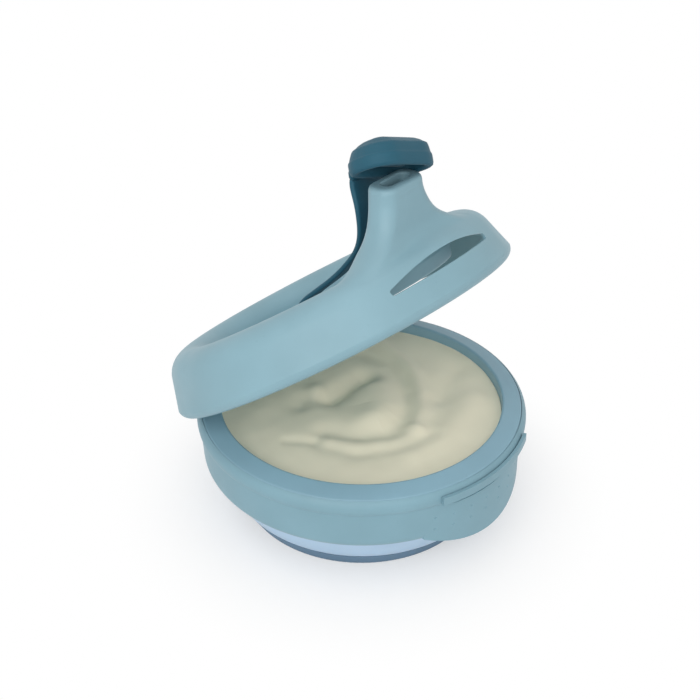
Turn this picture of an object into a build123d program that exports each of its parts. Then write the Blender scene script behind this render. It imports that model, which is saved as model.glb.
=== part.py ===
"""Reusable food pouch: a low squeeze bowl with a hinged spout lid and a strapped mouth cap.

Millimetres. The origin is the centre of the foot's underside, +X points at the catch and the
spout, +Y lies along the lid's hinge, +Z is up. The lid stands open and the cap stands off the
spout's mouth, as the pouch is shown when it is being filled.
"""

import os
from math import cos, radians, sin

from build123d import *

# Bowl and foot
base_radius = 36.0
belly_radius = 46.2
belly_height = 16.8
bowl_top = 32.2
bowl_wall = 1.8
bowl_floor = 2.0
bowl_inner_round = 6.0
foot_height = 5.5
foot_wall = 1.6
foot_floor = 1.5
foot_round = 0.9

# Rim ring that clamps the top of the bowl
clamp_clearance = 0.15
rim_leg_wall = 1.95
rim_flange_wall = 1.85
rim_cover = 3.1
rim_slope_drop = 1.65
rim_leg_drop = 5.2
rim_edge_round = 0.6
rim_inner_radius = belly_radius - bowl_wall - clamp_clearance - rim_leg_wall
rim_outer_radius = belly_radius + clamp_clearance + rim_flange_wall
rim_inner_top = bowl_top + rim_cover
rim_outer_top = rim_inner_top - rim_slope_drop
rim_flange_bottom = bowl_top - 1.0
rim_leg_bottom = bowl_top - rim_leg_drop

# Sleeve round the bowl, with its bead
sleeve_clearance = 0.3
rim_seat_clearance = 0.1
sleeve_wall = 1.75
sleeve_foot_wall = 0.8
sleeve_turn = 2.6
sleeve_lean = 0.5
bead_step = 0.55
bead_bulge = 0.35
bead_drop = 4.9
sleeve_inner = belly_radius + sleeve_clearance
sleeve_bottom = belly_height
sleeve_waist_radius = sleeve_inner + sleeve_wall
sleeve_top = rim_outer_top - rim_seat_clearance
bead_bottom = sleeve_top - bead_drop
crease_radius = sleeve_waist_radius + sleeve_lean
bead_radius = crease_radius + bead_step

# Catch lip and thumb grip on the sleeve
catch_half_angle = 23.0
catch_reach = 1.5
catch_wall = 1.0
catch_height = 2.6
catch_web = 0.9
catch_drop = 1.3
catch_outer_radius = bead_radius + catch_reach
catch_top = sleeve_top - catch_drop
grip_half_width = 22.6
grip_bulge = 0.85
grip_plan_radius = 40.0
grip_drop = 4.9
grip_top_drop = 0.9
grip_outer_radius = crease_radius + grip_bulge

# Lid hinge
pin_radius = 1.1
pin_running_clearance = 0.05
pin_press_clearance = 0.01
pin_chamfer = 0.2
knuckle_radius = 2.2
base_knuckle_half = 5.8
knuckle_gap = 0.3
lid_knuckle_length = 5.0
hinge_drop = 4.35
ear_top_drop = 0.4
ear_foot_drop = 4.6
lid_knuckle_start = base_knuckle_half + knuckle_gap

# Lid, measured from the plane of its bottom edge
lid_open_angle = 36.4
lid_clearance = 0.6
rim_gap_under_lid = 0.7
skirt_wall = 3.05
skirt_edge_round = 2.7
skirt_edge_flat = 0.35
skirt_lean = 16.6
skirt_straight_inside = 9.3
crest_inset = 10.45
crest_height = 17.84
crown_wall = 2.94
seal_land_width = 4.4
hollow_round = 3.7
recess_round = 6.3
recess_depth = 8.64
recess_wall_lean = 0.4
recess_floor_wall = 1.8
plug_clearance = 4.1
plug_edge_round = 0.3
skirt_inner_radius = catch_outer_radius + lid_clearance
skirt_radius = skirt_inner_radius + skirt_wall
crest_radius = skirt_radius - crest_inset
seal_land_height = crest_height - crown_wall
seal_land_inner = rim_inner_radius + rim_gap_under_lid
seal_land_outer = seal_land_inner + seal_land_width
recess_floor_top = crest_height - recess_depth
recess_wall_foot = crest_radius - recess_round - recess_wall_lean
plug_bottom = recess_floor_top - recess_floor_wall
plug_radius = rim_inner_radius - plug_clearance
hinge_x = -(skirt_radius - skirt_edge_flat)
hinge_z = rim_outer_top - hinge_drop
closed_lid_height = rim_inner_top - seal_land_height + rim_gap_under_lid

# Openings in the lid's skirt
slot_half_width = 20.6
slot_bottom = 8.9
slot_end_top = 10.5
slot_crown = 13.7
slot_end_round = 0.7
relief_half_width = 31.8
relief_height = 8.5
relief_side_run = 5.0
gusset_top = 13.2
gusset_outset = 2.6
gusset_depth = 0.8
notch_depth = 8.0

# Spout
mouth_inset = 7.95
mouth_height = 35.3
mouth_tilt = 30.0
mouth_half_width = 5.0
mouth_half_length = 9.2
mouth_corner = 4.2
mouth_hole_half_width = 2.4
mouth_hole_half_length = 6.25
hole_corner = 2.2
nozzle_straight = 3.4
mouth_x = skirt_radius - mouth_inset

# Seal ring under the lid's crest
seal_inset = 0.6
seal_width = 3.3
seal_gap = 0.1
seal_inner = seal_land_inner + seal_inset
seal_outer = seal_inner + seal_width

# Cap over the mouth
cap_hinge_back = 12.0
cap_hinge_drop = 0.8
cap_hinge_skew = 38.0
cap_hinge_half_length = 3.6
cap_open_angle = 33.0
cap_wall = 3.0
cap_clearance_width = 0.35
cap_clearance_length = 0.55
cap_end_trim = 0.45
cap_skirt = 1.5
cap_skirt_draw = 0.3
cap_band = 3.0
cap_band_inset = 1.4
cap_crown = 5.4
cap_crown_inset = 4.0
cap_dome = 6.4
cap_dome_inset = 5.8
cap_corner = 7.4
cap_ceiling = 0.15
stopper_length = 1.6
stopper_clearance = 0.4
cap_web = 1.0
cap_web_root = 7.0
cap_web_root_half_length = 4.0
living_hinge_radius = 0.7
living_hinge_gap = 0.3
cavity_half_width = mouth_half_width + cap_clearance_width
cavity_half_length = mouth_half_length + cap_clearance_length
cap_half_width = cavity_half_width + cap_wall
cap_half_length = cavity_half_length + cap_wall - cap_end_trim

# Strap and its anchor in the lid's recess
strap_thickness = 1.4
strap_head_half_width = 7.6
strap_foot_half_width = 4.2
strap_steps = 12
anchor_x = -17.0
pad_radius = 5.0
pad_thickness = 1.5
anchor_stem_radius = 1.9
anchor_hole_clearance = 0.1
anchor_head_radius = 3.4
anchor_head_thickness = 1.3

os.makedirs("parts", exist_ok=True)


def cone_radius(height):
    """Outer radius of the bowl's lower cone."""
    return base_radius + (belly_radius - base_radius) * height / belly_height


def radial_plane(angle):
    """Upright plane through the bowl's axis, its X pointing out at the angle."""
    out = Vector(cos(radians(angle)), sin(radians(angle)), 0)
    side = Vector(sin(radians(angle)), -cos(radians(angle)), 0)
    return Plane(origin=(0, 0, 0), x_dir=out, z_dir=side)


# The lid's frame: X runs towards the spout, Y along the hinge, Z square to the lid
lid_x = Vector(cos(radians(lid_open_angle)), 0, sin(radians(lid_open_angle)))
lid_z = Vector(-sin(radians(lid_open_angle)), 0, cos(radians(lid_open_angle)))
lid_drop = closed_lid_height - hinge_z
lid_origin = Vector(hinge_x, 0, hinge_z) - lid_x * hinge_x + lid_z * lid_drop
lid_axis = Axis(lid_origin, lid_z)
lid_section = Plane(origin=lid_origin, x_dir=lid_x, z_dir=(0, -1, 0))


def lid_point(x, y, height):
    """Point given in the lid's frame."""
    return lid_origin + lid_x * x + Vector(0, y, 0) + lid_z * height


def lid_slice(x, height, tilt=0.0):
    """Cross plane of the lid, tipped towards the spout by the tilt in degrees."""
    ahead = lid_x * cos(radians(tilt)) - lid_z * sin(radians(tilt))
    up = lid_x * sin(radians(tilt)) + lid_z * cos(radians(tilt))
    return Plane(origin=lid_point(x, 0, height), x_dir=ahead, z_dir=up)


# The mouth's frame and the cap's, turned back about the living hinge
mouth_plane = lid_slice(mouth_x, mouth_height, mouth_tilt)
cap_pivot = mouth_plane.origin - mouth_plane.x_dir * cap_hinge_back
cap_pivot = cap_pivot - mouth_plane.z_dir * cap_hinge_drop
skew = radians(cap_hinge_skew)
cap_hinge_dir = -mouth_plane.x_dir * sin(skew) - Vector(0, cos(skew), 0)
cap_turn = Axis((0, 0, 0), cap_hinge_dir)
cap_ahead = mouth_plane.x_dir.rotate(cap_turn, cap_open_angle)
cap_up = mouth_plane.z_dir.rotate(cap_turn, cap_open_angle)
cap_origin = cap_pivot + cap_ahead * cap_hinge_back + cap_up * cap_hinge_drop
cap_hinge_run = cap_hinge_half_length * sin(skew)
cap_hinge_side = cap_hinge_half_length * cos(skew)


def cap_slice(height):
    """Cross plane of the cap at a height over the plane of the mouth."""
    return Plane(origin=cap_origin + cap_up * height, x_dir=cap_ahead, z_dir=cap_up)


# Foot: a shallow dish flush with the bowl's cone
with BuildPart() as foot:
    with BuildSketch(Plane.XZ):
        with BuildLine():
            Polyline(
                (0, 0),
                (base_radius, 0),
                (cone_radius(foot_height), foot_height),
                (cone_radius(foot_height) - foot_wall, foot_height),
                (cone_radius(foot_floor) - foot_wall, foot_floor),
                (0, foot_floor),
                close=True,
            )
        make_face()
    revolve(axis=Axis.Z)
    foot_bottom_edges = foot.edges().filter_by(GeomType.CIRCLE).group_by(Axis.Z)[0]
    fillet(foot_bottom_edges.sort_by(SortBy.RADIUS)[-1], radius=foot_round)
foot.part.label = "foot"
export_step(foot.part, "parts/foot.step")

# Bowl: a soft cone that stands in the foot and rises inside the sleeve
bowl_inner_floor = foot_floor + bowl_floor
with BuildPart() as bowl:
    with BuildSketch(Plane.XZ):
        with BuildLine():
            Polyline(
                (0, foot_floor),
                (cone_radius(foot_floor) - foot_wall, foot_floor),
                (cone_radius(foot_height) - foot_wall, foot_height),
                (cone_radius(foot_height), foot_height),
                (belly_radius, belly_height),
                (belly_radius, bowl_top),
                (belly_radius - bowl_wall, bowl_top),
                (belly_radius - bowl_wall, belly_height),
                (cone_radius(bowl_inner_floor) - bowl_wall - foot_wall, bowl_inner_floor),
                (0, bowl_inner_floor),
                close=True,
            )
        make_face()
    revolve(axis=Axis.Z)
    bowl_rings = bowl.edges().filter_by(GeomType.CIRCLE)
    fillet(bowl_rings.group_by(Axis.Z)[1], radius=bowl_inner_round)
bowl.part.label = "bowl"
export_step(bowl.part, "parts/bowl.step")

# Rim ring: a sloped top with an inner leg, holding the bowl's edge in its channel
rim_channel_inner = belly_radius - bowl_wall - clamp_clearance
rim_channel_outer = belly_radius + clamp_clearance
rim_channel_top = bowl_top + clamp_clearance
with BuildPart() as rim_ring:
    with BuildSketch(Plane.XZ):
        with BuildLine():
            Polyline(
                (rim_inner_radius, rim_leg_bottom),
                (rim_inner_radius, rim_inner_top),
                (rim_outer_radius, rim_outer_top),
                (rim_outer_radius, rim_flange_bottom),
                (rim_channel_outer, rim_flange_bottom),
                (rim_channel_outer, rim_channel_top),
                (rim_channel_inner, rim_channel_top),
                (rim_channel_inner, rim_leg_bottom),
                close=True,
            )
        make_face()
    revolve(axis=Axis.Z)
    rim_top_edges = rim_ring.edges().filter_by(GeomType.CIRCLE).sort_by(Axis.Z)[-2:]
    fillet(rim_top_edges, radius=rim_edge_round)
rim_ring.part.label = "rim_ring"
export_step(rim_ring.part, "parts/rim_ring.step")

# Thumb grip: a crescent that swells out of the band and hangs below it in a smooth curve
grip_top = bead_bottom - grip_top_drop
grip_bottom = sleeve_bottom - grip_drop
with BuildPart() as grip:
    with BuildSketch(Plane.XY.offset(grip_bottom)):
        with Locations((grip_outer_radius - grip_plan_radius, 0)):
            Circle(grip_plan_radius)
        Circle(sleeve_waist_radius - sleeve_wall / 2, mode=Mode.SUBTRACT)
    extrude(amount=grip_top - grip_bottom)
    with BuildSketch(Plane.YZ):
        with BuildLine():
            Polyline(
                (grip_half_width, sleeve_bottom),
                (grip_half_width, grip_top),
                (-grip_half_width, grip_top),
                (-grip_half_width, sleeve_bottom),
            )
            ThreePointArc(
                (-grip_half_width, sleeve_bottom),
                (0, grip_bottom),
                (grip_half_width, sleeve_bottom),
            )
        make_face()
    extrude(amount=grip_outer_radius, mode=Mode.INTERSECT)

# Sleeve: the stiff band with its bead, thumb grip, catch lip and hinge ear
sleeve_rebate = rim_outer_radius + rim_seat_clearance
sleeve_rebate_floor = rim_flange_bottom - rim_seat_clearance
sleeve_foot_radius = sleeve_inner + sleeve_foot_wall
catch_bottom = catch_top - catch_height
with BuildPart() as sleeve:
    with BuildSketch(Plane.XZ):
        with BuildLine():
            Polyline(
                (sleeve_rebate, sleeve_top),
                (sleeve_rebate, sleeve_rebate_floor),
                (sleeve_inner, sleeve_rebate_floor),
                (sleeve_inner, sleeve_bottom),
                (sleeve_foot_radius, sleeve_bottom),
            )
            sleeve_edge = TangentArc(
                (sleeve_waist_radius, sleeve_bottom + sleeve_turn),
                (sleeve_foot_radius, sleeve_bottom),
                tangent=(0, -1),
            )
            Polyline(
                sleeve_edge @ 0,
                (crease_radius, bead_bottom),
                (bead_radius, bead_bottom + bead_step),
            )
            ThreePointArc(
                (bead_radius, bead_bottom + bead_step),
                (bead_radius + bead_bulge, (bead_bottom + sleeve_top) / 2),
                (sleeve_rebate, sleeve_top),
            )
        make_face()
    revolve(axis=Axis.Z)
    add(grip.part)
    # Catch lip: a hooked ledge with a narrow gap behind it
    with BuildSketch(radial_plane(-catch_half_angle)):
        with BuildLine():
            Polyline(
                (crease_radius, catch_bottom),
                (catch_outer_radius, catch_bottom),
                (catch_outer_radius, catch_top),
                (catch_outer_radius - catch_wall, catch_top),
                (catch_outer_radius - catch_wall, catch_bottom + catch_web),
                (crease_radius, catch_bottom + catch_web),
                close=True,
            )
        make_face()
    revolve(axis=Axis.Z, revolution_arc=2 * catch_half_angle)
    # Hinge ear: one wide knuckle on an arm
    with BuildSketch(Plane.XZ.offset(-base_knuckle_half)):
        with BuildLine():
            Polyline(
                (-sleeve_waist_radius, hinge_z - knuckle_radius - ear_foot_drop),
                (hinge_x, hinge_z - knuckle_radius),
                (hinge_x, hinge_z),
                (-crease_radius, hinge_z - ear_top_drop),
                close=True,
            )
        make_face()
        with Locations((hinge_x, hinge_z)):
            Circle(knuckle_radius)
            Circle(pin_radius + pin_press_clearance, mode=Mode.SUBTRACT)
    extrude(amount=2 * base_knuckle_half)
sleeve.part.label = "sleeve"
export_step(sleeve.part, "parts/sleeve.step")

# Hinge pin through both lid knuckles and the ear
pin_half_length = lid_knuckle_start + lid_knuckle_length
with BuildPart() as hinge_pin:
    with BuildSketch(Plane.XZ.offset(-pin_half_length)):
        with Locations((hinge_x, hinge_z)):
            Circle(pin_radius)
    extrude(amount=2 * pin_half_length)
    chamfer(hinge_pin.edges().filter_by(GeomType.CIRCLE), length=pin_chamfer)
hinge_pin.part.label = "hinge_pin"
export_step(hinge_pin.part, "parts/hinge_pin.step")

# Stations of the spout's outside, from the recess floor to the mouth:
# x, height, tilt, half width, half length, corner radius
nozzle_x = mouth_x - nozzle_straight * sin(radians(mouth_tilt))
nozzle_height = mouth_height - nozzle_straight * cos(radians(mouth_tilt))
spout_stations = [
    (32.0, 8.4, 0, 9.5, 18.0, 8.5),
    (36.2, 14.0, 0, 11.0, 22.5, 10.0),
    (38.15, 17.0, 2, 9.9, 23.8, 9.3),
    (38.9, 19.0, 6, 8.2, 19.5, 7.8),
    (39.6, 21.5, 11, 6.4, 15.4, 6.0),
    (41.0, 24.6, 17, 5.5, 12.2, 5.0),
    (42.8, 28.4, 24, 5.1, 10.2, 4.5),
    (nozzle_x, nozzle_height, mouth_tilt, mouth_half_width, mouth_half_length, mouth_corner),
    (mouth_x, mouth_height, mouth_tilt, mouth_half_width, mouth_half_length, mouth_corner),
]

# Stations of the channel through it, from under the floor to the mouth
channel_stations = [
    (29.5, 6.8, 0, 5.0, 10.5, 4.5),
    (30.3, 10.0, 0, 4.9, 10.5, 4.5),
    (33.2, 15.0, 4, 4.5, 10.5, 4.2),
    (37.4, 20.0, 10, 3.8, 9.4, 3.5),
    (40.3, 24.3, 17, 3.1, 7.8, 2.9),
    (42.6, 28.4, 24, 2.7, 6.8, 2.5),
    (nozzle_x, nozzle_height, mouth_tilt, mouth_hole_half_width, mouth_hole_half_length, hole_corner),
    (mouth_x, mouth_height, mouth_tilt, mouth_hole_half_width, mouth_hole_half_length, hole_corner),
]

# The leaning skirt meets the crest in one tangent arc
lean_out = Vector(cos(radians(skirt_lean)), sin(radians(skirt_lean)))
lean_up = Vector(-sin(radians(skirt_lean)), cos(radians(skirt_lean)))
crest_offset = (crest_radius - skirt_radius) * lean_out.X
crest_offset += (crest_height - skirt_edge_round) * lean_out.Y
crest_arc = -crest_offset / (1 - lean_out.Y)
shoulder_start = (
    crest_radius + crest_arc * lean_out.X,
    crest_height - crest_arc + crest_arc * lean_out.Y,
)
hinge_height = hinge_z - closed_lid_height
relief_inner = seal_land_inner - hollow_round
gusset_top_x = hinge_x + gusset_outset
gusset_inner_x = gusset_top_x + gusset_depth

# Lid: skirt, crest and recess are one turned shell, with the spout lofted out of its front
with BuildPart() as lid:
    with BuildSketch(lid_section):
        with BuildLine():
            Line((0, 0), (skirt_radius - skirt_edge_round, 0))
            RadiusArc(
                (skirt_radius - skirt_edge_round, 0),
                (skirt_radius, skirt_edge_round),
                -skirt_edge_round,
            )
            Line((skirt_radius, skirt_edge_round), shoulder_start)
            TangentArc(
                shoulder_start, (crest_radius, crest_height), tangent=(lean_up.X, lean_up.Y)
            )
            recess_lip = TangentArc(
                (crest_radius, crest_height),
                (crest_radius - recess_round, crest_height - recess_round),
                tangent=(-1, 0),
            )
            Polyline(
                recess_lip @ 1,
                (recess_wall_foot, recess_floor_top),
                (0, recess_floor_top),
                (0, 0),
            )
        make_face()
    revolve(axis=lid_axis)
    for x, height, tilt, half_width, half_length, corner in spout_stations:
        with BuildSketch(lid_slice(x, height, tilt)):
            RectangleRounded(2 * half_width, 2 * half_length, corner)
    loft()
    # The hollow underneath: the open skirt and the groove that takes the rim ring
    with BuildSketch(lid_section):
        with BuildLine():
            Polyline(
                (skirt_inner_radius, skirt_straight_inside),
                (skirt_inner_radius, skirt_edge_flat),
                (skirt_radius - skirt_edge_round, 0),
                (skirt_radius - skirt_edge_round, -skirt_edge_flat),
                (0, -skirt_edge_flat),
                (0, plug_bottom),
                (plug_radius - plug_edge_round, plug_bottom),
                (plug_radius, plug_bottom + plug_edge_round),
                (seal_land_inner - hollow_round, seal_land_height - hollow_round),
            )
            TangentArc(
                (seal_land_inner - hollow_round, seal_land_height - hollow_round),
                (seal_land_inner, seal_land_height),
                tangent=(0, 1),
            )
            Line((seal_land_inner, seal_land_height), (seal_land_outer, seal_land_height))
            TangentArc(
                (skirt_inner_radius, skirt_straight_inside),
                (seal_land_outer, seal_land_height),
                tangent=(0, 1),
            )
        make_face()
    revolve(axis=lid_axis, mode=Mode.SUBTRACT)
    for x, height, tilt, half_width, half_length, corner in channel_stations:
        with BuildSketch(lid_slice(x, height, tilt)):
            RectangleRounded(2 * half_width, 2 * half_length, corner)
    loft(mode=Mode.SUBTRACT)
    # Slot in the front of the skirt, over the catch lip
    with BuildSketch(Plane(lid_point(seal_land_inner, 0, 0), x_dir=(0, 1, 0), z_dir=lid_x)):
        with BuildLine():
            Polyline(
                (-slot_half_width, slot_end_top),
                (-slot_half_width, slot_bottom),
                (slot_half_width, slot_bottom),
                (slot_half_width, slot_end_top),
            )
            ThreePointArc(
                (-slot_half_width, slot_end_top),
                (0, slot_crown),
                (slot_half_width, slot_end_top),
            )
        make_face()
        fillet(vertices(), radius=slot_end_round)
    extrude(amount=skirt_radius, mode=Mode.SUBTRACT)
    # Relief at the back, where the skirt swings in towards the sleeve
    with BuildSketch(Plane(lid_point(-relief_inner, 0, 0), x_dir=(0, 1, 0), z_dir=-lid_x)):
        with BuildLine():
            Polyline(
                (-relief_half_width, -relief_height),
                (relief_half_width, -relief_height),
                (relief_half_width, 0),
                (relief_half_width - relief_side_run, relief_height),
                (relief_side_run - relief_half_width, relief_height),
                (-relief_half_width, 0),
                close=True,
            )
        make_face()
    extrude(amount=skirt_radius, mode=Mode.SUBTRACT)
    # Two knuckles with gussets up the skirt
    for side in (-1, 1):
        with BuildSketch(lid_section.offset(side * lid_knuckle_start)):
            with BuildLine():
                Polyline(
                    (hinge_x - knuckle_radius, hinge_height),
                    (hinge_x - knuckle_radius, hinge_height + pin_radius),
                    (gusset_top_x, gusset_top),
                    (gusset_inner_x, gusset_top - pin_radius),
                    (gusset_inner_x, relief_height),
                    (hinge_x, hinge_height),
                    close=True,
                )
            make_face()
            with Locations((hinge_x, hinge_height)):
                Circle(knuckle_radius)
                Circle(pin_radius + pin_running_clearance, mode=Mode.SUBTRACT)
        extrude(amount=side * lid_knuckle_length)
    # Notch between them for the sleeve's wide knuckle
    with BuildSketch(lid_section.offset(-lid_knuckle_start)):
        with Locations((hinge_x, hinge_height)):
            Rectangle(notch_depth, 2 * (knuckle_radius + knuckle_gap))
    extrude(amount=2 * lid_knuckle_start, mode=Mode.SUBTRACT)
    # Hole in the recess floor for the strap's anchor
    with BuildSketch(lid_slice(anchor_x, plug_bottom - plug_edge_round)):
        Circle(anchor_stem_radius + anchor_hole_clearance)
    extrude(amount=recess_floor_top, mode=Mode.SUBTRACT)
lid.part.label = "lid"
export_step(lid.part, "parts/lid.step")

# Seal ring: its underside follows the slope of the rim ring that it closes on
rim_slope = (rim_inner_top - rim_outer_top) / (rim_outer_radius - rim_inner_radius)


def seal_underside(radius):
    """Height of the seal's underside over the lid's bottom plane."""
    rim_top = rim_inner_top - rim_slope * (radius - rim_inner_radius)
    return rim_top - closed_lid_height + seal_gap


with BuildPart() as lid_seal:
    with BuildSketch(lid_section):
        with BuildLine():
            Polyline(
                (seal_inner, seal_land_height),
                (seal_outer, seal_land_height),
                (seal_outer, seal_underside(seal_outer)),
                (seal_inner, seal_underside(seal_inner)),
                close=True,
            )
        make_face()
    revolve(axis=lid_axis)
lid_seal.part.label = "lid_seal"
export_step(lid_seal.part, "parts/lid_seal.step")

# Cap: a chamfered hood over the nozzle, with a stopper for the mouth
cap_stations = [
    (-cap_skirt, cap_skirt_draw),
    (0, 0),
    (cap_band, cap_band_inset),
    (cap_crown, cap_crown_inset),
    (cap_dome, cap_dome_inset),
]
with BuildPart() as cap:
    for height, inset in cap_stations:
        with BuildSketch(cap_slice(height)):
            RectangleRounded(
                2 * (cap_half_width - inset), 2 * (cap_half_length - inset), cap_corner - inset
            )
    loft(ruled=True)
    with BuildSketch(cap_slice(cap_ceiling)):
        RectangleRounded(2 * cavity_half_width, 2 * cavity_half_length, mouth_corner)
    extrude(amount=-2 * cap_skirt, mode=Mode.SUBTRACT)
    with BuildSketch(cap_slice(cap_ceiling)):
        RectangleRounded(
            2 * (mouth_hole_half_width - stopper_clearance),
            2 * (mouth_hole_half_length - stopper_clearance),
            mouth_hole_half_width - 2 * stopper_clearance,
        )
    extrude(amount=-(cap_ceiling + stopper_length))
    # Web that runs back to the living hinge at the head of the strap
    with BuildSketch(cap_slice(-cap_hinge_drop - cap_web / 2)):
        with BuildLine():
            Polyline(
                (-cap_hinge_back - cap_hinge_run, -cap_hinge_side),
                (-cap_hinge_back + cap_hinge_run, cap_hinge_side),
                (-cap_web_root, cap_web_root_half_length),
                (-cap_web_root, -cap_web_root_half_length),
                close=True,
            )
        make_face()
    extrude(amount=cap_web)
    hinge_clearance_length = cap_hinge_half_length + living_hinge_radius
    with BuildSketch(Plane(cap_pivot, z_dir=cap_hinge_dir).offset(-hinge_clearance_length)):
        Circle(living_hinge_radius + living_hinge_gap)
    extrude(amount=2 * hinge_clearance_length, mode=Mode.SUBTRACT)
cap.part.label = "cap"
export_step(cap.part, "parts/cap.step")

# Strap: a flat band from the living hinge down behind the spout to a pad in the recess
strap_points = [
    (33.9, 34.6),
    (32.3, 30.2),
    (29.6, 26.2),
    (25.0, 22.6),
    (18.5, 20.0),
    (9.0, 17.3),
    (-2.0, 15.3),
    (-9.5, 13.3),
]
with BuildPart() as cap_strap:
    with BuildLine(mode=Mode.PRIVATE) as strap_route:
        Spline(
            cap_pivot,
            *[lid_point(x, 0, height) for x, height in strap_points],
            lid_point(anchor_x + pad_radius / 2, 0, recess_floor_top + pad_thickness / 2),
        )
    strap_line = strap_route.edges()[0]
    for step in range(strap_steps + 1):
        along = step / strap_steps
        half_width = strap_foot_half_width
        half_width += (strap_head_half_width - strap_foot_half_width) * (1 - along) ** 3
        if step == 0:
            half_width = cap_hinge_half_length
        twist = (1 - along) ** 6
        run = strap_line % along
        across = Vector(0, 1, 0) * (1 - twist) - cap_hinge_dir * twist
        across = across - run * across.dot(run)
        with BuildSketch(Plane(origin=strap_line @ along, x_dir=across, z_dir=run)):
            Rectangle(2 * half_width, cap_web if step == 0 else strap_thickness)
    loft()
    with BuildSketch(lid_slice(anchor_x, recess_floor_top)):
        Circle(pad_radius)
    extrude(amount=pad_thickness)
    with BuildSketch(Plane(cap_pivot, z_dir=cap_hinge_dir).offset(-cap_hinge_half_length)):
        Circle(living_hinge_radius)
    extrude(amount=2 * cap_hinge_half_length)
cap_strap.part.label = "cap_strap"
export_step(cap_strap.part, "parts/cap_strap.step")

# Anchor: a button under the floor that holds the strap's pad
with BuildPart() as strap_anchor:
    with BuildSketch(lid_slice(anchor_x, recess_floor_top)):
        Circle(anchor_stem_radius)
    extrude(amount=plug_bottom - recess_floor_top)
    with BuildSketch(lid_slice(anchor_x, plug_bottom)):
        Circle(anchor_head_radius)
    extrude(amount=-anchor_head_thickness)
strap_anchor.part.label = "strap_anchor"
export_step(strap_anchor.part, "parts/strap_anchor.step")
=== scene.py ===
"""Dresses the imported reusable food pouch: finishes, soft pieces, food, floor, light and camera.

Metres, in the row frame: the origin is the centre of the foot's underside, +X points at the
catch and the spout, +Y lies along the lid's hinge, +Z is up. The object's sizes are named in
millimetres and become metres where a point is placed.
"""

import math

import bmesh
import bpy
import numpy as np
from mathutils import Matrix, Vector


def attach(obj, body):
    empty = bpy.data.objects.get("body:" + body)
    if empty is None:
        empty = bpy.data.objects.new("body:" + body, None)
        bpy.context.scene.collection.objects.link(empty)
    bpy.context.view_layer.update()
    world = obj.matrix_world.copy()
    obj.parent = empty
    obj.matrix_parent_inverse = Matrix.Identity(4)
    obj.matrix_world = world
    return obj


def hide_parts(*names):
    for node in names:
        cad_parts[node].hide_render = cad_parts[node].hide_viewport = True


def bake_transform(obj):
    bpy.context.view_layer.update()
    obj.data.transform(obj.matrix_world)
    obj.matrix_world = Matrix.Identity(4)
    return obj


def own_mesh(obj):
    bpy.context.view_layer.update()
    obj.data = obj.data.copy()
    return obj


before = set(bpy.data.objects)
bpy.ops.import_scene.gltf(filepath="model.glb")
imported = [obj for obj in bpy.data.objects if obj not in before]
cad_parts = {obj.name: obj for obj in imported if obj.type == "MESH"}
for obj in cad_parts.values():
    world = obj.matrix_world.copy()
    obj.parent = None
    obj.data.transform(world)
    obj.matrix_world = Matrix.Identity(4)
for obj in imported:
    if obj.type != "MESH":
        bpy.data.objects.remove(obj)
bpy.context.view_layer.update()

MM = 0.001
TURNED_STEPS = 192
BUTTON_STEPS = 48
PAD_STEPS = 64

# Camera, fitted to the photograph
CAMERA_PLACE = Vector((230.49, -274.19, 289.79)) * MM
CAMERA_TARGET = Vector((-2.62, -2.25, 51.44)) * MM
CAMERA_LENS = 74.93
CAMERA_SENSOR = 36.0
CAMERA_NEAREST = 0.01

# Finish colours, as sRGB levels
LID_COLOUR = (133, 169, 181)
SLEEVE_COLOUR = (126, 163, 176)
RIM_COLOUR = (136, 173, 189)
FOOT_COLOUR = (102, 130, 153)
BOWL_COLOUR = (174, 202, 226)
CAP_COLOUR = (27, 84, 103)
SEAL_COLOUR = (206, 216, 220)
PIN_COLOUR = (96, 122, 134)
FOOD_COLOUR = (249, 241, 215)

# Finish textures: how fine each noise is, the part of its range that counts, and its effect
MOTTLE_SCALE, MOTTLE_RANGE = 45.0, (0.3, 0.7)
SPECK_SCALE, SPECK_RANGE = 900.0, (0.66, 0.78)
SPECK_SHADE = 0.86
SPECK_SHARE = 7.0
RUB_SCALE, RUB_RANGE = 260.0, (0.35, 0.7)
RUB_LEAST = 0.15
RUB_SHADE, RUB_LIFT = 1.25, 0.05
SMUDGE_SCALE, SMUDGE_RANGE = 70.0, (0.3, 0.75)
SMUDGE_SMOOTHER, SMUDGE_ROUGHER = 0.06, 0.08
WAVE_SCALE = 120.0

# Relief, edges and the light in silicone: depths in metres, strengths, and the normals' range
WAVE_DEPTH = 0.00012
WAVE_STRENGTH = 0.5
GRAIN_STRENGTH = 0.6
EDGE_REACH = 0.0007
EDGE_RANGE = (0.995, 0.90)
SOFT_DEPTHS = (0.003, 0.004, 0.005)
SOFT_SCALE = 0.4

# Bowl: a cone from the foot up to a straight wall, with a rolled inner corner
BOWL_RADIUS = 46.2
BOWL_WALL = 1.8
BOWL_TOP = 32.2
BOWL_EDGE = 0.3
BOWL_UNDERSIDE = 1.5
BOWL_INNERMOST = 0.5
BOWL_FLOOR = 3.5
BOWL_CORNER = 5.7
BOWL_CORNER_MIDDLE = 32.0
CONE_RADIUS = 36.0
CONE_SPREAD = 10.2
CONE_HEIGHT = 16.8

# Lid: a crest between the recess and the skirt, with heights over the lid's bottom plane
HINGE_BEHIND = 54.1
HINGE_HEIGHT = 29.3
HINGE_OVER_LID = 8.2
LID_TILT = math.radians(36.4)
CREST_RADIUS = 44.0
CREST_TOP = 17.84
CREST_OUTER_ARC = 7.964
CREST_INNER_ARC = 6.3
SKIRT_LEAN = math.radians(16.6)
RECESS_FLOOR = 9.2

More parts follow.
